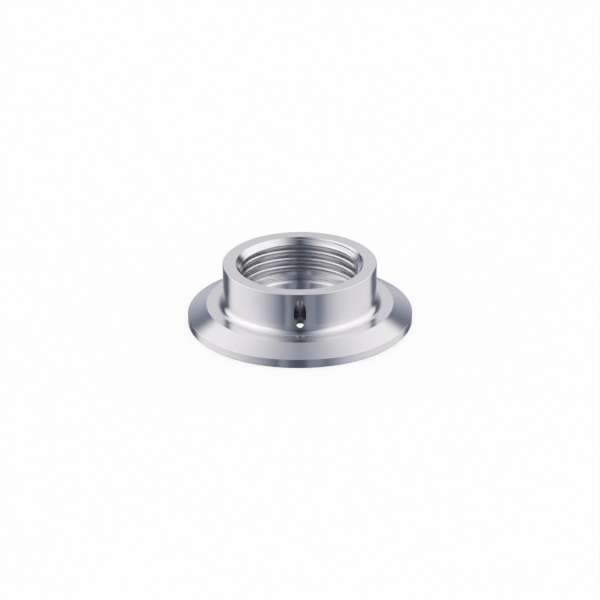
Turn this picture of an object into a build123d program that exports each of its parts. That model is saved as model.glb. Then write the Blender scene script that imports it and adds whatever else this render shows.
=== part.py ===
from build123d import *
import os
from math import ceil, cos, radians, sin, tan

# Weld-in adapter for a screwed sensor, turned from one bar of stainless steel.
# Millimetres, +Z up. The origin is the centre of the flat face that closes flush with the vessel.

# Inside thread G 1: right-handed, 55 degrees, with its roots cut flat and its crests cut back
thread_major_diameter = 33.249
thread_pitch = 2.309
thread_depth = 1.479
thread_crest_cut = 0.2795
thread_angle = 55.0
thread_overrun = 0.3
groove_below_mouth_at_back = 2.6

# Mouth, thread relief, and the seal shoulder with its chamfered edge round the lower bore
mouth_clearance = 0.3755
mouth_angle = 45.0
relief_clearance = 0.3755
relief_width = 2.25
shoulder_height = 4.35
shoulder_width = 2.2
shoulder_edge_chamfer = 0.5
bore_edge_break = 0.15

# Collar: its wall is measured at the relief
collar_wall = 3.5
collar_edge_break = 0.3
collar_foot_fillet = 2.0
body_height = 16.5

# Weld flange: a plain rim, then a bevel that takes the weld, then a flat land round the collar
rim_height = 2.4
rim_edge_break = 0.15
bevel_width = 5.0
bevel_rise = 2.6
land_width = 4.5

# Leak hole: drilled downwards and inwards through the front of the collar, into the relief.
# Its tip stops below the shoulder and outside the relief's wall by these two distances.
leak_diameter = 3.2
leak_tilt = 23.6
leak_tip_depth = 0.45
leak_tip_wall = 0.376
leak_point_angle = 118.0

# What follows from these, from the thread outwards
major_radius = thread_major_diameter / 2
minor_radius = major_radius - thread_depth + thread_crest_cut
mouth_radius = major_radius + mouth_clearance
relief_radius = major_radius + relief_clearance
bore_radius = relief_radius - shoulder_width
collar_radius = relief_radius + collar_wall
bevel_top_radius = collar_radius + land_width
flange_radius = bevel_top_radius + bevel_width
relief_top = shoulder_height + relief_width
land_height = rim_height + bevel_rise
mouth_bottom = body_height - (mouth_radius - minor_radius) / tan(radians(mouth_angle))


def turned_blank():
    """The section of the body without its thread, turned once round the axis."""
    outline = Polyline(
        (bore_radius, 0),
        (flange_radius, 0),
        (flange_radius, rim_height),
        (bevel_top_radius, land_height),
        (collar_radius, land_height),
        (collar_radius, body_height),
        (mouth_radius, body_height),
        (minor_radius, mouth_bottom),
        (minor_radius, relief_top),
        (relief_radius, relief_top),
        (relief_radius, shoulder_height),
        (bore_radius, shoulder_height),
        close=True,
    )
    section = make_face(outline)

    def corner(radius, height):
        """The corner of the section at that place."""
        return section.vertices().sort_by_distance((radius, height))[0]

    section = fillet(corner(collar_radius, land_height), collar_foot_fillet)
    section = chamfer(corner(collar_radius, body_height), collar_edge_break)
    section = chamfer([corner(flange_radius, 0), corner(flange_radius, rim_height)], rim_edge_break)
    section = chamfer(corner(bore_radius, shoulder_height), shoulder_edge_chamfer)
    section = chamfer(corner(bore_radius, 0), bore_edge_break)
    return revolve(Plane.XZ * section, Axis.Z)


def thread_grooves():
    """The groove of the thread, one flat-rooted vee on a helix, as equal turns one above the other."""
    flank_slope = tan(radians(thread_angle / 2))
    pitch_radius = major_radius - thread_depth / 2
    inner_radius = minor_radius - thread_overrun
    root_half_width = thread_pitch / 4 - (major_radius - pitch_radius) * flank_slope
    inner_half_width = thread_pitch / 4 + (pitch_radius - inner_radius) * flank_slope
    vee = Polyline(
        (major_radius, -root_half_width),
        (major_radius, root_half_width),
        (inner_radius, inner_half_width),
        (inner_radius, -inner_half_width),
        close=True,
    )
    path = Helix(pitch=thread_pitch, height=thread_pitch, radius=pitch_radius)
    one_turn = sweep(Plane.XZ * make_face(vee), path=path, is_frenet=True)

    # The first turn starts inside the relief, and the last ends above the mouth
    start_height = (shoulder_height + relief_top) / 2
    height_at_back = body_height - groove_below_mouth_at_back
    start_angle = 90 + 360 * (start_height - height_at_back) / thread_pitch
    turn_count = ceil((body_height + thread_pitch / 2 - start_height) / thread_pitch)
    first_turn = Rot(0, 0, start_angle % 360) * one_turn
    return [Pos(0, 0, start_height + turn * thread_pitch) * first_turn for turn in range(turn_count)]


def leak_hole():
    """A drill with its point, laid along the slanted axis of the leak hole."""
    leak_radius = leak_diameter / 2
    tilt = radians(leak_tilt)
    tip_radius = relief_radius + leak_tip_wall
    tip = Vector(0, -tip_radius, shoulder_height - leak_tip_depth)
    point_length = leak_radius / tan(radians(leak_point_angle / 2))
    shank_length = 2 * (collar_radius - tip_radius) / sin(tilt)
    along = Plane(origin=tip, x_dir=(1, 0, 0), z_dir=(0, -sin(tilt), cos(tilt)))
    point = Cone(0, leak_radius, point_length, align=(Align.CENTER, Align.CENTER, Align.MIN))
    shank = Cylinder(leak_radius, shank_length, align=(Align.CENTER, Align.CENTER, Align.MIN))
    return along * (point + Pos(0, 0, point_length) * shank)


adapter_body = turned_blank() - thread_grooves() - leak_hole()

os.makedirs("parts", exist_ok=True)
export_step(adapter_body, "parts/adapter_body.step")
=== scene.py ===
"""Weld-in sensor adapter of turned stainless steel, seen in a plain white studio."""

from math import atan2, cos, hypot, pi, radians, sin, tan

import bpy
import numpy as np
from mathutils import Matrix, Vector


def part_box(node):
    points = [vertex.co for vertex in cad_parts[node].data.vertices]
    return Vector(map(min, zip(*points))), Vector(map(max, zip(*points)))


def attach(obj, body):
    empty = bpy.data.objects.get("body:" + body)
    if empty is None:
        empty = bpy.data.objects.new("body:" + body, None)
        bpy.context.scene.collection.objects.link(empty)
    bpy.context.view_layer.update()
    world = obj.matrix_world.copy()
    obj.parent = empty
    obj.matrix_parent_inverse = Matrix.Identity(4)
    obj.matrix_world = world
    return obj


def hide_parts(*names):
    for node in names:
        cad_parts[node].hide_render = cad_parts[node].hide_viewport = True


bl_info = {
    "name": "Weld-in sensor adapter",
    "version": (1, 0, 0),
    "blender": (4, 5, 0),
    "location": "3D View > Sidebar > Adapter",
    "description": "Builds a turned weld-in adapter with its inside thread, and a white studio round it",
    "category": "Add Mesh",
}

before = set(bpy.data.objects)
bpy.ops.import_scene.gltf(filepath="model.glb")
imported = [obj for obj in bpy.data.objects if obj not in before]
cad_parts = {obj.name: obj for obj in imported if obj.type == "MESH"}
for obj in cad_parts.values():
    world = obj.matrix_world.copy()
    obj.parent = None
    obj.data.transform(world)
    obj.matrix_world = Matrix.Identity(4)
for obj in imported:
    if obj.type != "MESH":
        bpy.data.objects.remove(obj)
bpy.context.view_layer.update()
MM = 0.001
NODE = "adapter_body"
node_low, node_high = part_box(NODE)

# Two faces that meet at more than this angle keep a sharp edge
SHARP = radians(40)
# Nearly all values of a noise texture lie between these two
NOISE_LOW, NOISE_HIGH = 0.3, 0.7


# Sizes and colours, as they show in the sidebar

def length(name, description, millimetres):
    """A length in metres that the sidebar shows as a distance."""
    return bpy.props.FloatProperty(
        name=name, description=description, default=millimetres * MM, min=0.0,
        precision=5, subtype="DISTANCE", unit="LENGTH")


def angle(name, description, degrees):
    """An angle in radians that the sidebar shows in degrees."""
    return bpy.props.FloatProperty(
        name=name, description=description, default=radians(degrees),
        precision=4, subtype="ANGLE", unit="ROTATION")


def share(name, description, value):
    """A number from 0 to 1."""
    return bpy.props.FloatProperty(
        name=name, description=description, default=value, min=0.0, max=1.0, subtype="FACTOR")


def colour(name, description, hex_value):
    """A colour given as sRGB hex."""
    return bpy.props.FloatVectorProperty(
        name=name, description=description, default=linear(hex_value)[:3],
        min=0.0, max=1.0, size=3, subtype="COLOR")


def linear(hex_value):
    """Scene-linear red, green, blue and alpha of an sRGB hex colour."""
    parts = [int(hex_value[i:i + 2], 16) / 255 for i in (1, 3, 5)]
    return tuple(c / 12.92 if c <= 0.04045 else ((c + 0.055) / 1.055) ** 2.4 for c in parts) + (1.0,)


def millimetres_of(sizes):
    """The lengths among the sizes in millimetres, by name."""
    return {p.identifier: getattr(sizes, p.identifier) / MM for p in sizes.bl_rna.properties
            if p.type == "FLOAT" and p.subtype == "DISTANCE"}


class AdapterSizes(bpy.types.PropertyGroup):
    """Sizes of the turned body."""
    flange_radius: length("Flange radius", "Radius of the weld rim",
                          min(node_high.x, node_high.y, -node_low.x, -node_low.y) / MM)
    rim_height: length("Rim height", "Height of the plain rim", 2.4)
    rim_edge: length("Rim edge", "Edge break on the flush face's two edges", 0.15)
    bevel_edge: length("Bevel edge", "Edge break between rim and bevel", 0.05)
    bevel_top_radius: length("Bevel top radius", "Where the weld bevel meets the land", 25.0)
    land_height: length("Land height", "Height of the flat land round the collar", 5.0)
    collar_radius: length("Collar radius", "Outer radius of the collar", 20.5)
    collar_edge: length("Collar edge", "Edge break on the collar's top", 0.12)
    body_height: length("Body height", "From the flush face to the mouth", node_high.z / MM)
    foot_fillet: length("Foot fillet", "Radius between land and collar", 2.0)
    mouth_radius: length("Mouth radius", "Outer radius of the mouth's chamfer", 17.0)
    crest_radius: length("Crest radius", "Inner radius of the thread's crests", 15.425)
    major_radius: length("Major radius", "Radius at the thread's roots", 16.6245)
    pitch: length("Pitch", "Axial step of one turn of the thread", 2.309)
    thread_depth: length("Thread depth", "Depth of the full thread, before its crests are cut back", 1.479)
    thread_angle: angle("Thread angle", "Angle between the two flanks of the groove", 55.0)
    groove_height: length("Groove height", "Height of the top groove at the back", 13.9)
    relief_radius: length("Relief radius", "Radius of the thread relief", 17.0)
    relief_top: length("Relief top", "Height of the relief's upper side", 6.6)
    shoulder_height: length("Shoulder height", "Height of the seal shoulder", 4.35)
    shoulder_chamfer: length("Shoulder chamfer", "Chamfer on the shoulder's inner edge", 0.5)
    bore_radius: length("Bore radius", "Radius of the lower bore", 14.8)
    leak_radius: length("Leak hole radius", "Radius of the slanted leak hole", 1.6)
    leak_tip_radius: length("Leak tip radius", "Distance of the drill's tip from the axis", 17.376)
    leak_tip_height: length("Leak tip height", "Height of the drill's tip", 3.9)
    leak_reach: length("Leak reach", "How far the drill runs outwards from its tip", 16.0)
    leak_tilt: angle("Leak tilt", "Tilt of the leak hole from the axis", 23.6)
    leak_point: angle("Leak point", "Angle of the drill's point", 118.0)
    columns: bpy.props.IntProperty(
        name="Columns", description="Steps round the axis", default=480, min=48, max=960)


class AdapterFinish(bpy.types.PropertyGroup):
    """Colour and finish of the steel."""
    steel: colour("Steel", "Colour of the turned stainless steel", "#E0E0E1")
    # Painted shade: the leak hole's steel is darker than the turned steel, which darkens the inside of the
    # hole where shade falls
    drilled: colour("Drilled steel", "Colour of the steel in the leak hole", "#B8B8BA")
    roughness: share("Roughness", "Roughness of the turned faces", 0.17)
    grain: share("Grain", "How much the tool marks stretch the highlights", 0.8)


class StudioLook(bpy.types.PropertyGroup):
    """Camera, light and floor."""
    camera_elevation: angle("Camera elevation", "Height of the camera above the floor", 24.7865)
    camera_roll: angle("Camera roll", "Turn of the camera about its view", -0.456)
    camera_distance: length("Camera distance", "From the point that it looks at", 786.077)
    camera_target: length("Camera target", "Height of the point on the axis that it looks at", 8.4375)
    lens: bpy.props.FloatProperty(name="Lens", description="Focal length in millimetres", default=176.644)
    light: bpy.props.FloatProperty(name="Light", description="Strength of the studio's sheets", default=1.024)
    floor: colour("Floor", "Colour of the floor", "#FAFAFA")


# Surfaces, in millimetres until they become meshes

def outline(corners, support):
    """Radius and height along a section whose corners are rounded.

    corners holds radius, height, rounding and segments. A rounded corner becomes an arc that touches
    both of its straights, with one more point a short way along each, which keeps the straights flat."""
    points = [np.array(corners[0][:2])]
    for before, here, after in zip(corners, corners[1:], corners[2:]):
        corner, rounding, segments = np.array(here[:2]), here[2], here[3]
        arrive = corner - np.array(before[:2])
        leave = np.array(after[:2]) - corner
        arrive = arrive / np.linalg.norm(arrive)
        leave = leave / np.linalg.norm(leave)
        turn = atan2(arrive[0] * leave[1] - arrive[1] * leave[0], arrive @ leave)
        reach = rounding * tan(abs(turn) / 2)
        side = np.array((-arrive[1], arrive[0])) * (1 if turn > 0 else -1)
        centre = corner - arrive * reach + side * rounding
        steps = np.linspace(0, abs(turn), segments + 1)
        points.append(corner - arrive * (reach + support))
        points.extend(centre - side * rounding * cos(s) + arrive * rounding * sin(s) for s in steps)
        points.append(corner + leave * (reach + support))
    points.append(np.array(corners[-1][:2]))
    return np.array(points).T


def smooth_max(a, b, width):
    """The larger of a and b, with the step between them rounded off over the given width."""
    near = np.maximum(width - np.abs(a - b), 0) / width
    return np.maximum(a, b) + near ** 2 * width / 4


class Thread:
    """The inside thread with the mouth's chamfer, as a radius over angle and height.

    The groove is a vee with a flat root, and its middle rises by one pitch for each turn round the
    axis. At any point the radius is the larger of two: the groove's, and that of the plain bore, which
    is the crests' cylinder and above it the chamfer. The crests' edges are well rounded, the lower edge
    of a groove less than its upper one, and the edges that the groove cuts into the chamfer hardly."""
    LOWER_ROUNDING = 0.38
    UPPER_ROUNDING = 0.58
    CHAMFER_ROUNDING = 0.04
    ROOT_ROUNDING = 0.12
    MOUTH_ROUNDING = 0.1
    FADE = 0.3
    BELOW_MOUTH = 0.25
    HALVINGS = 40
    AROUND_EDGE = (-1.0, -0.5, 0.0, 0.5, 1.0)
    ACROSS_ROOT = (-1.3, -1.0, -0.7, 0.0, 0.7, 1.0, 1.3)
    ROWS_PER_TURN = 2 * len(AROUND_EDGE) + len(ACROSS_ROOT)

    def __init__(self, sizes, angles):
        mm = millimetres_of(sizes)
        self.pitch = mm["pitch"]
        self.crest = mm["crest_radius"]
        self.major = mm["major_radius"]
        self.slope = 1 / tan(sizes.thread_angle / 2)
        # The radius where both flanks would meet, and half the width of the flat root
        self.apex = self.major - mm["thread_depth"] / 2 + self.pitch / 4 * self.slope
        self.root = (self.apex - self.major) / self.slope
        self.mouth_bottom = mm["body_height"] - (mm["mouth_radius"] - self.crest)
        self.low = mm["relief_top"]
        self.high = mm["body_height"] - self.BELOW_MOUTH
        self.middle = mm["groove_height"] + self.pitch * (angles / (2 * pi) - 0.25)

    def bore(self, height):
        """Radius without the groove: the crests' cylinder, then the mouth's chamfer of 45 degrees."""
        chamfer = self.crest + height - self.mouth_bottom
        return smooth_max(np.full_like(height, self.crest), chamfer, self.MOUTH_ROUNDING)

    def groove(self, offset):
        """Radius of the groove at a height above its middle."""
        flank = self.apex - np.abs(offset) * self.slope
        return -smooth_max(np.full_like(flank, -self.major), -flank, self.ROOT_ROUNDING)

    def radius(self, height):
        """Radius at a height in each column."""
        offset = (height - self.middle + self.pitch / 2) % self.pitch - self.pitch / 2
        onto_chamfer = np.clip((height - self.mouth_bottom + self.FADE) / (2 * self.FADE), 0, 1)
        rounding = np.where(offset < 0, self.LOWER_ROUNDING, self.UPPER_ROUNDING)
        rounding = rounding + (self.CHAMFER_ROUNDING - rounding) * onto_chamfer
        return smooth_max(self.bore(height), self.groove(offset), rounding)

    def edges(self, middle):
        """Lower and upper edge of one turn of the groove in each column, found by halving.

        The search starts inside the groove: at its middle, or at the root's lower corner where the
        groove runs out on the chamfer, because the corner is the last place that it still cuts."""
        deepest = np.where(middle < self.mouth_bottom, 0.0, -self.root)
        found = []
        for side in (-1, 1):
            inside, outside = deepest.copy(), np.full_like(middle, side * self.pitch / 2)
            for _ in range(self.HALVINGS):
                half = (inside + outside) / 2
                cut = self.groove(half) > self.bore(middle + half)
                inside = np.where(cut, half, inside)
                outside = np.where(cut, outside, half)
            found.append(inside)
        return found

    def rows(self, low, high):
        """Heights of the rows in each column: every turn has rows round its edges and across its root."""
        rows = []
        first = int(np.floor((self.low - self.middle.max()) / self.pitch)) - 1
        last = int(np.ceil((self.high - self.middle.min()) / self.pitch)) + 1
        for turn in range(first, last + 1):
            middle = self.middle + turn * self.pitch
            below, above = self.edges(middle)
            near_lower = np.minimum(self.LOWER_ROUNDING / self.slope, (above - below) / 5)
            near_upper = np.minimum(self.UPPER_ROUNDING / self.slope, (above - below) / 5)
            rows += [middle + below + near_lower * t for t in self.AROUND_EDGE]
            rows += [middle + np.clip(self.root * t, below + near_lower, above - near_upper)
                     for t in self.ACROSS_ROOT]
            rows += [middle + above + near_upper * t for t in self.AROUND_EDGE]
        return np.clip(np.array(rows), low, high)


def ring_points(radius, height, angles):
    """Points of rows by columns: each row is a ring of the given radius and height."""
    radius, height, angles = np.broadcast_arrays(radius, height, angles)
    return np.stack((radius * np.cos(angles), radius * np.sin(angles), height), axis=-1)


def ring_faces(points, start, shift=0):
    """Triangles between neighbouring rows, closed round the axis.

    Where the rows follow the thread, the last column meets the first one a whole turn of rows higher."""
    rows, columns = points.shape[:2]
    index = np.arange(rows * columns).reshape(rows, columns) + start
    moved = index[np.minimum(np.arange(rows) + shift, rows - 1), 0]
    wide = np.hstack((index, moved[:, None]))
    a, b, c, d = wide[:-1, :-1], wide[:-1, 1:], wide[1:, 1:], wide[1:, :-1]
    return np.concatenate((np.stack((a, c, b), -1).reshape(-1, 3), np.stack((a, d, c), -1).reshape(-1, 3)))


def joined(patches):
    """One closed mesh from several patches: equal points are merged and collapsed faces dropped."""
    points, faces, start = [], [], 0
    for grid, shift in patches:
        faces.append(ring_faces(grid, start, shift))
        points.append(grid.reshape(-1, 3))
        start += len(points[-1])
    points, faces = np.concatenate(points), np.concatenate(faces)
    _, first, index = np.unique(np.round(points, 7), axis=0, return_index=True, return_inverse=True)
    faces = index.reshape(-1)[faces]
    real = (faces[:, 0] != faces[:, 1]) & (faces[:, 1] != faces[:, 2]) & (faces[:, 2] != faces[:, 0])
    return points[first], faces[real]


def mesh_object(name, points, faces):
    """A mesh object in metres from points in millimetres and triangles."""
    mesh = bpy.data.meshes.new(name)
    mesh.vertices.add(len(points))
    mesh.vertices.foreach_set("co", (points * MM).astype(np.float32).ravel())
    mesh.loops.add(faces.size)
    mesh.loops.foreach_set("vertex_index", faces.astype(np.int32).ravel())
    mesh.polygons.add(len(faces))
    mesh.polygons.foreach_set("loop_start", np.arange(0, faces.size, 3, dtype=np.int32))
    mesh.polygons.foreach_set("use_smooth", np.ones(len(faces), dtype=bool))
    mesh.update(calc_edges=True)
    if mesh.validate():
        raise RuntimeError(f"{name} has faces that are not valid")
    piece = bpy.data.objects.new(name, mesh)
    bpy.context.scene.collection.objects.link(piece)
    return piece


def turned_body(sizes):
    """The body as a section turned round the axis, with the thread as a patch of its own."""
    mm = millimetres_of(sizes)
    angles = (np.arange(sizes.columns) + 0.5) * 2 * pi / sizes.columns
    thread = Thread(sizes, angles)

    # The thread, in strips that meet below, on and above the lower edge of the mouth's chamfer
    half = Thread.MOUTH_ROUNDING / 2
    bounds = (thread.low, thread.mouth_bottom - half, thread.mouth_bottom + half, thread.high)
    strips = []
    for low, high in zip(bounds, bounds[1:]):
        height = thread.rows(low, high)
        strips.append((ring_points(thread.radius(height), height, angles), Thread.ROWS_PER_TURN))

    # The ceiling of the relief: the shell's last ring, one close to the thread, and the thread's lowest
    last_ring, close_ring = mm["relief_radius"] - 0.2, 0.05
    edge = thread.radius(np.full(sizes.columns, thread.low))
    ceiling = np.array((np.full(sizes.columns, last_ring), edge + close_ring, edge))
    ceiling = ring_points(ceiling, mm["relief_top"], angles)

    # Everything else, from the mouth outwards and down, and in again to the relief
    bevel_run = mm["flange_radius"] - mm["bevel_top_radius"]
    bevel_rise = mm["land_height"] - mm["rim_height"]
    inward = mm["bevel_edge"] * bevel_run / hypot(bevel_run, bevel_rise)
    upward = mm["bevel_edge"] * bevel_rise / hypot(bevel_run, bevel_rise)
    start = thread.radius(np.full(sizes.columns, thread.high))[0]
    fine, usual, broad, relief_foot = 0.03, 0.06, 0.12, 0.3
    corners = [
        (start, thread.high, 0, 0),
        (mm["mouth_radius"], mm["body_height"], broad, 4),
        (mm["collar_radius"] - mm["collar_edge"], mm["body_height"], usual, 3),
        (mm["collar_radius"], mm["body_height"] - mm["collar_edge"], usual, 3),
        (mm["collar_radius"], mm["land_height"], mm["foot_fillet"], 18),
        (mm["bevel_top_radius"], mm["land_height"], broad, 4),
        (mm["flange_radius"] - inward, mm["rim_height"] + upward, fine, 3),
        (mm["flange_radius"], mm["rim_height"] - mm["bevel_edge"], fine, 3),
        (mm["flange_radius"], mm["rim_edge"], usual, 3),
        (mm["flange_radius"] - mm["rim_edge"], 0, usual, 3),
        (mm["bore_radius"] + mm["rim_edge"], 0, usual, 3),
        (mm["bore_radius"], mm["rim_edge"], usual, 3),
        (mm["bore_radius"], mm["shoulder_height"] - mm["shoulder_chamfer"], usual, 3),
        (mm["bore_radius"] + mm["shoulder_chamfer"], mm["shoulder_height"], usual, 3),
        (mm["relief_radius"], mm["shoulder_height"], relief_foot, 6),
        (mm["relief_radius"], mm["relief_top"], 0.05, 3),
        (last_ring, mm["relief_top"], 0, 0),
    ]
    radius, height = outline(corners, support=0.01)
    shell = ring_points(radius[:, None], height[:, None], angles)
    points, faces = joined(strips + [(shell, 0), (ceiling, 0)])
    return mesh_object("turned_adapter", points, faces)


def leak_axis(sizes):
    """Direction of the leak hole, from the drill's tip outwards."""
    return np.array((0, -sin(sizes.leak_tilt), cos(sizes.leak_tilt)))


def leak_drill(sizes):
    """A drill along the leak hole: a ring carried from the point's tip out past the collar."""
    mm = millimetres_of(sizes)
    tip = np.array((0, -mm["leak_tip_radius"], mm["leak_tip_height"]))
    along = leak_axis(sizes)
    across = np.array((1, 0, 0))
    third = np.cross(along, across)
    steps = 96
    turns = np.arange(steps) * 2 * pi / steps
    ring = np.cos(turns)[:, None] * across + np.sin(turns)[:, None] * third
    point_length = mm["leak_radius"] / tan(sizes.leak_point / 2)
    reach = np.array((0, point_length, mm["leak_reach"]))
    width = np.array((0, mm["leak_radius"], mm["leak_radius"]))
    grid = tip + reach[:, None, None] * along + width[:, None, None] * ring
    cap = np.broadcast_to(tip + reach[-1] * along, (1,) + grid.shape[1:])
    points, faces = joined([(np.concatenate((grid, cap))[::-1], 0)])
    return mesh_object("leak_drill", points, faces)


def drill(body, tool):
    """Cuts the tool out of the body. The cut faces keep the tool's own material."""
    cut = body.modifiers.new("leak hole", "BOOLEAN")
    cut.operation = "DIFFERENCE"
    cut.solver = "EXACT"
    cut.object = tool
    cut.material_mode = "TRANSFER"
    bpy.context.view_layer.update()
    done = body.evaluated_get(bpy.context.evaluated_depsgraph_get())
    mesh = bpy.data.meshes.new_from_object(done)
    body.modifiers.clear()
    old = body.data
    body.data = mesh
    mesh.name = body.name
    bpy.data.meshes.remove(old)
    bpy.data.objects.remove(tool)


def read(items, name, kind, size=1):
    """One value of every item of a mesh, as an array."""
    out = np.empty(len(items) * size, kind)
    items.foreach_get(name, out)
    return out.reshape(-1, size) if size > 1 else out


def set_normals(body, sizes):
    """Sharp edges by angle and round the leak hole, and exact normals on the collar and in the hole.

    On the collar the normal points straight away from the axis, and in the hole straight to the
    drill's axis."""
    mesh = body.data
    mesh.set_sharp_from_angle(angle=SHARP)
    slot = read(mesh.polygons, "material_index", np.int32)
    face_of = np.repeat(np.arange(len(slot)), read(mesh.polygons, "loop_total", np.int32))
    edge_of = read(mesh.loops, "edge_index", np.int32)
    turned = np.bincount(edge_of, slot[face_of] == 0, len(mesh.edges)) > 0
    drilled = np.bincount(edge_of, slot[face_of] == 1, len(mesh.edges)) > 0
    sharp = mesh.attributes.get("sharp_edge") or mesh.attributes.new("sharp_edge", "BOOLEAN", "EDGE")
    sharp.data.foreach_set("value", read(sharp.data, "value", bool) | (turned & drilled))
    mesh.polygons.foreach_set("use_smooth", np.ones(len(slot), bool))
    mesh.update()

    normals = read(mesh.corner_normals, "vector", np.float32, 3)
    place = read(mesh.vertices, "co", np.float32, 3)[read(mesh.loops, "vertex_index", np.int32)]
    flat = read(mesh.polygons, "normal", np.float32, 3)[face_of]
    # How close to the wall's radius a point lies, and how square to its axis the face's normal stands
    near, collar_square, hole_square = 0.02 * MM, 0.01, 0.05

    out = place * (1, 1, 0)
    reach = np.linalg.norm(out, axis=1, keepdims=True)
    upright = (slot[face_of] == 0) & (np.abs(flat[:, 2]) < collar_square)
    collar = upright & (np.abs(reach[:, 0] - sizes.collar_radius) < near)
    normals[collar] = (out / reach)[collar]

    along = leak_axis(sizes)
    from_tip = place - np.array((0, -sizes.leak_tip_radius, sizes.leak_tip_height))
    inward = (from_tip @ along)[:, None] * along - from_tip
    reach = np.linalg.norm(inward, axis=1, keepdims=True)
    lengthwise = (slot[face_of] == 1) & (np.abs(flat @ along) < hole_square)
    wall = lengthwise & (np.abs(reach[:, 0] - sizes.leak_radius) < near)
    normals[wall] = (inward / np.maximum(reach, 1e-9))[wall]
    mesh.normals_split_custom_set(normals.tolist())


# Materials

def add(tree, kind, settings=None, links=None):
    """A node with its settings, and with each input set to a value or linked to another node's output."""
    node = tree.nodes.new(kind)
    for name, value in (settings or {}).items():
        setattr(node, name, value)
    for socket, value in (links or {}).items():
        if isinstance(value, bpy.types.NodeSocket):
            tree.links.new(value, node.inputs[socket])
        else:
            node.inputs[socket].default_value = value
    return node


def new_tree(owner):
    """The empty node tree of a material or world."""
    owner.use_nodes = True
    owner.node_tree.nodes.clear()
    return owner.node_tree


def mapped(tree, value, start, end, first, last, kind="LINEAR"):
    """A value carried from one range to another, and held at the ends of that."""
    return add(tree, "ShaderNodeMapRange", {"interpolation_type": kind},
               {"Value": value, 1: start, 2: end, 3: first, 4: last}).outputs[0]


def step(tree, value, low, high):
    """0 below low, 1 above high, and a smooth rise between them."""
    return mapped(tree, value, low, high, 0.0, 1.0, "SMOOTHSTEP")


def maths(tree, operation, first, second=0.0):
    """One operation on one or two values."""
    return add(tree, "ShaderNodeMath", {"operation": operation}, {0: first, 1: second}).outputs[0]


def blend(tree, amount, first, second):
    """The first value where the amount is 0, and the second where it is 1."""
    return add(tree, "ShaderNodeMix", {"data_type": "FLOAT"}, {0: amount, 2: first, 3: second}).outputs[0]


def ramp(tree, value, stops):
    """A grey level that changes with the value, from a list of places and levels."""
    node = add(tree, "ShaderNodeValToRGB", None, {0: value})
    elements = node.color_ramp.elements
    for place, level in stops[1:-1]:
        elements.new(place)
    for element, (place, level) in zip(elements, stops):
        element.position = place
        element.color = (level, level, level, 1.0)
    return node.outputs[0]


def fine_turned_stainless(finish):
    """Austenitic stainless steel, turned with a fine feed: a bright grey metal whose rings of tool
    marks stretch every reflection across them, so that the eye sees bands that run up the walls."""
    # Polished, this steel sends back about 0.6 of the light. The colour here is lighter, because the
    # photo shows the collar's reflection in the flange almost as bright as the collar itself.
    # The tool's marks are really about 0.1 mm apart, too fine to show, so they are drawn 0.5 mm apart.
    mark_spacing, mark_depth, unevenness = 0.5 * MM, 0.004 * MM, 0.05
    material = bpy.data.materials.new("fine turned stainless steel")
    tree = new_tree(material)
    place = add(tree, "ShaderNodeTexCoord").outputs["Object"]
    parts = add(tree, "ShaderNodeSeparateXYZ", None, {0: place})
    flat = add(tree, "ShaderNodeCombineXYZ", None, {0: parts.outputs[0], 1: parts.outputs[1]})
    radius = add(tree, "ShaderNodeVectorMath", {"operation": "LENGTH"}, {0: flat.outputs[0]})
    rings = add(tree, "ShaderNodeCombineXYZ", None, {0: radius.outputs["Value"], 2: parts.outputs[2]})
    marks = add(tree, "ShaderNodeTexNoise", {"noise_dimensions": "3D"},
                {"Vector": rings.outputs[0], "Scale": 1 / mark_spacing, "Detail": 3.0, "Roughness": 0.7})
    rough = mapped(tree, marks.outputs[0], NOISE_LOW, NOISE_HIGH,
                   finish.roughness - unevenness, finish.roughness + unevenness)
    bump = add(tree, "ShaderNodeBump", None,
               {"Strength": 0.25, "Distance": mark_depth, "Height": marks.outputs[0]})
    around = add(tree, "ShaderNodeTangent", {"direction_type": "RADIAL", "axis": "Z"})
    across_marks = 0.25
    surface = add(tree, "ShaderNodeBsdfPrincipled", None, {
        "Base Color": tuple(finish.steel) + (1.0,),
        "Metallic": 1.0,
        "Roughness": rough,
        "Anisotropic": finish.grain,
        "Anisotropic Rotation": across_marks,
        "Tangent": around.outputs[0],
        "Normal": bump.outputs[0],
    })
    add(tree, "ShaderNodeOutputMaterial", None, {"Surface": surface.outputs[0]})
    return material


def drilled_and_shaded_stainless(finish):
    """The same steel in the leak hole, duller as the drill left it, and a little darker as painted shade in
    the hole.
    """
    material = bpy.data.materials.new("drilled stainless steel")
    tree = new_tree(material)
    place = add(tree, "ShaderNodeTexCoord").outputs["Object"]
    mark_spacing, smoothest, roughest = 0.4 * MM, 0.24, 0.30
    marks = add(tree, "ShaderNodeTexNoise", None, {"Vector": place, "Scale": 1 / mark_spacing, "Detail": 2.0})
    # Its base colour is darker than the turned steel's: painted shade inside the hole
    surface = add(tree, "ShaderNodeBsdfPrincipled", None, {
        "Base Color": tuple(finish.drilled) + (1.0,),
        "Metallic": 1.0,
        "Roughness": mapped(tree, marks.outputs[0], NOISE_LOW, NOISE_HIGH, smoothest, roughest),
    })
    add(tree, "ShaderNodeOutputMaterial", None, {"Surface": surface.outputs[0]})
    return material


# Studio

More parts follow.
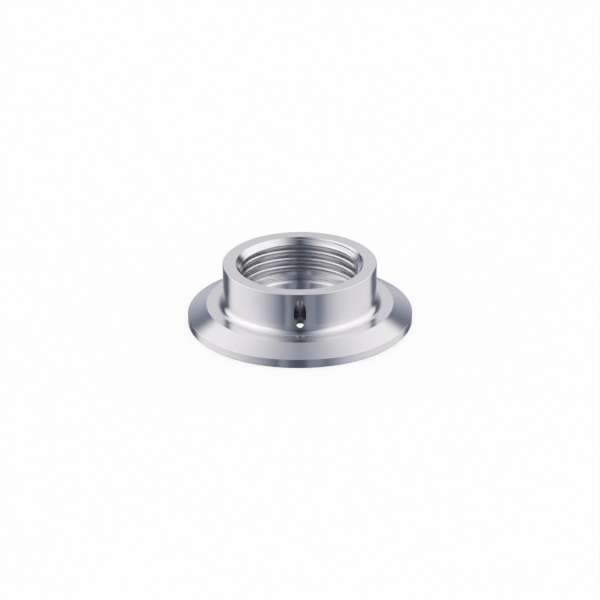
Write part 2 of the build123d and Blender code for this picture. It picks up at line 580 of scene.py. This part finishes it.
def studio_world(studio):
    """White all round for the eye and for the floor. What shines on the metal is a studio: large white
    sheets left and right, a dim gap round the camera with a thin strip of light on each side of it,
    a paler sheet behind, and a dark gap between that sheet and each of the others."""
    # Light round the axis, from the camera at 0 to behind the object at 180 degrees, left is negative.
    # Upright walls show the light from below the horizon, the land and the fillet that from above it.
    around_below = [
        (-180, 0.50), (-168, 0.50), (-160, 0.30), (-148, 0.16), (-138, 0.11), (-131, 0.55), (-125, 0.90),
        (-112, 1.00), (-80, 0.96), (-60, 0.80), (-40, 0.54), (-30, 0.35), (-23, 0.20), (-21, 0.42),
        (-15, 0.40), (-12, 0.24), (-4, 0.16), (4, 0.16), (9, 0.37), (20, 0.40), (26, 0.28), (34, 0.41),
        (42, 0.62), (60, 0.83), (80, 0.93), (118, 0.92), (130, 0.82), (137, 0.36), (142, 0.17),
        (158, 0.25), (168, 0.50), (180, 0.50)]
    around_above = [
        (-180, 0.79), (-164, 0.77), (-156, 0.50), (-148, 0.22), (-140, 0.11), (-135, 0.20), (-130, 1.02),
        (-122, 1.18), (-100, 1.32), (-70, 1.36), (-50, 1.23), (-40, 0.95), (-30, 0.60), (-20, 0.32),
        (-10, 0.15), (-5, 0.04), (5, 0.04), (10, 0.15), (20, 0.32), (30, 0.62), (40, 0.95), (50, 1.18),
        (70, 1.31), (100, 1.27), (122, 1.15), (132, 1.00), (137, 0.22), (142, 0.11), (149, 0.22),
        (156, 0.48), (164, 0.77), (180, 0.79)]
    # Light from high up, by how far it comes from the side: towards the camera, and behind the object
    high_in_front = [(0.0, 0.08), (0.1, 0.22), (0.23, 0.44), (0.44, 0.82), (0.6, 1.06), (0.75, 1.23),
                     (1.0, 1.26)]
    high_behind = [(0.0, 0.46), (0.12, 0.60), (0.24, 0.76), (0.34, 0.92), (0.44, 1.03), (0.6, 1.15),
                   (1.0, 1.22)]
    right_is_nearer = 1.25

    world = bpy.data.worlds.new("white studio")
    tree = new_tree(world)
    direction = add(tree, "ShaderNodeSeparateXYZ", None,
                    {0: add(tree, "ShaderNodeTexCoord").outputs["Generated"]})
    x, y, z = direction.outputs[0], direction.outputs[1], direction.outputs[2]
    heading = maths(tree, "ARCTAN2", x, maths(tree, "MULTIPLY", y, -1.0))
    turn = maths(tree, "ADD", maths(tree, "DIVIDE", heading, 2 * pi), 0.5)
    below, above = [ramp(tree, turn, [(place / 360 + 0.5, level) for place, level in stops])
                    for stops in (around_below, around_above)]

    # z is the sine of a light's height above the horizon. Seen from the camera, an upright wall
    # reflects light from the first of these heights, and a level face from the second.
    wall, level_face = -0.42, 0.42
    around = blend(tree, step(tree, z, wall, level_face), below, above)
    from_under = mapped(tree, z, -0.64, -0.45, 0.10, 1.0, "SMOOTHSTEP")
    around = maths(tree, "MULTIPLY", around, from_under)
    left = maths(tree, "MULTIPLY", x, -1.0)
    right = maths(tree, "MULTIPLY", x, right_is_nearer)
    front = ramp(tree, maths(tree, "MAXIMUM", left, right), high_in_front)
    behind = ramp(tree, maths(tree, "ABSOLUTE", x), high_behind)
    high = blend(tree, step(tree, y, -0.4, 0.15), front, behind)
    light = blend(tree, step(tree, z, 0.46, 0.62), around, high)
    level = maths(tree, "MULTIPLY", light, studio.light)

    # Dim parts of the studio are bluer than its sheets
    dim, bright = (0.64, 0.75, 1.0, 1.0), (1.0, 0.975, 0.995, 1.0)
    tint = add(tree, "ShaderNodeMix", {"data_type": "RGBA"},
               {0: step(tree, level, 0.05, 0.95), 6: dim, 7: bright})
    shine = add(tree, "ShaderNodeBackground", None, {"Color": tint.outputs[2], "Strength": level})
    white = add(tree, "ShaderNodeBackground", None, {"Color": (1.0, 1.0, 1.0, 1.0), "Strength": 1.0})
    path = add(tree, "ShaderNodeLightPath")
    mixed = add(tree, "ShaderNodeMixShader", None,
                {0: path.outputs["Is Glossy Ray"], 1: white.outputs[0], 2: shine.outputs[0]})
    add(tree, "ShaderNodeOutputWorld", None, {"Surface": mixed.outputs[0]})
    return world


def white_floor(studio):
    """Matt white board, lit evenly for the eye, which keeps the soft shadow under the object. The
    metal doesn't see it: what shines on the metal from below comes from the studio."""
    evenness = 0.75
    material = bpy.data.materials.new("matt white board")
    tree = new_tree(material)
    path = add(tree, "ShaderNodeLightPath")
    board = add(tree, "ShaderNodeBsdfDiffuse", None, {"Color": tuple(studio.floor) + (1.0,)})
    glow = add(tree, "ShaderNodeEmission", None, {"Color": (1.0, 1.0, 1.0, 1.0), "Strength": 1.0})
    clear = add(tree, "ShaderNodeBsdfTransparent")
    seen = maths(tree, "MULTIPLY", path.outputs["Is Camera Ray"], evenness)
    mixed = add(tree, "ShaderNodeMixShader", None, {0: seen, 1: board.outputs[0], 2: glow.outputs[0]})
    through = add(tree, "ShaderNodeMixShader", None,
                  {0: path.outputs["Is Glossy Ray"], 1: mixed.outputs[0], 2: clear.outputs[0]})
    add(tree, "ShaderNodeOutputMaterial", None, {"Surface": through.outputs[0]})
    return material


def floor_disc(material):
    """A flat disc of rings at height zero, wide enough to fill the view."""
    steps = 96
    angles = np.arange(steps) * 2 * pi / steps
    rings = np.array((0.0, 100.0, 600.0, 3000.0))
    grid = ring_points(rings[:, None], np.zeros((len(rings), 1)), angles)
    points, faces = joined([(grid, 0)])
    floor = mesh_object("floor", points, faces)
    floor.data.materials.append(material)
    return floor


def set_camera(studio):
    """A long lens in front of the object and above it, looking at its middle."""
    data = bpy.data.cameras.new("camera")
    data.lens = studio.lens
    data.sensor_width = 36.0
    # Small shifts put the object where it stands in the picture
    data.shift_x = 0.00024
    data.shift_y = -0.01635
    data.clip_start = 0.05
    data.clip_end = 20.0
    camera = bpy.data.objects.new("camera", data)
    bpy.context.scene.collection.objects.link(camera)
    rise = studio.camera_elevation
    target = Vector((0, 0, studio.camera_target))
    away = Vector((0, -cos(rise), sin(rise)))
    turn = Matrix.Rotation(pi / 2 - rise, 4, "X") @ Matrix.Rotation(studio.camera_roll, 4, "Z")
    camera.matrix_world = Matrix.Translation(target + away * studio.camera_distance) @ turn
    bpy.context.scene.camera = camera


# Add-on

class ADAPTER_OT_body(bpy.types.Operator):
    """Build the turned adapter with its thread and its leak hole"""
    bl_idname = "adapter.body"
    bl_label = "Turned adapter"

    def execute(self, context):
        sizes, finish = context.scene.adapter_sizes, context.scene.adapter_finish
        body = turned_body(sizes)
        body.data.materials.append(fine_turned_stainless(finish))
        tool = leak_drill(sizes)
        tool.data.materials.append(drilled_and_shaded_stainless(finish))
        drill(body, tool)
        set_normals(body, sizes)
        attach(body, "root")
        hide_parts(NODE)
        return {"FINISHED"}


class ADAPTER_OT_studio(bpy.types.Operator):
    """Set the white floor, the studio light and the camera"""
    bl_idname = "adapter.studio"
    bl_label = "White studio"

    def execute(self, context):
        studio = context.scene.adapter_studio
        context.scene.world = studio_world(studio)
        floor_disc(white_floor(studio))
        set_camera(studio)
        context.scene.view_settings.view_transform = "Standard"
        return {"FINISHED"}


class ADAPTER_PT_panel(bpy.types.Panel):
    """Lists the adapter's steps and sizes"""
    bl_label = "Weld-in adapter"
    bl_idname = "ADAPTER_PT_panel"
    bl_space_type = "VIEW_3D"
    bl_region_type = "UI"
    bl_category = "Adapter"

    def draw(self, context):
        for operator in (ADAPTER_OT_body, ADAPTER_OT_studio):
            self.layout.operator(operator.bl_idname)
        for group, place in GROUPS.items():
            box = self.layout.box()
            for name in group.__annotations__:
                box.prop(getattr(context.scene, place), name)


GROUPS = {AdapterSizes: "adapter_sizes", AdapterFinish: "adapter_finish", StudioLook: "adapter_studio"}
CLASSES = tuple(GROUPS) + (ADAPTER_OT_body, ADAPTER_OT_studio, ADAPTER_PT_panel)


def register():
    for cls in CLASSES:
        bpy.utils.register_class(cls)
    for group, name in GROUPS.items():
        setattr(bpy.types.Scene, name, bpy.props.PointerProperty(type=group))


def unregister():
    for name in GROUPS.values():
        delattr(bpy.types.Scene, name)
    for cls in reversed(CLASSES):
        bpy.utils.unregister_class(cls)


def main():
    register()
    bpy.ops.adapter.body()
    bpy.ops.adapter.studio()


if __name__ == "__main__":
    main()
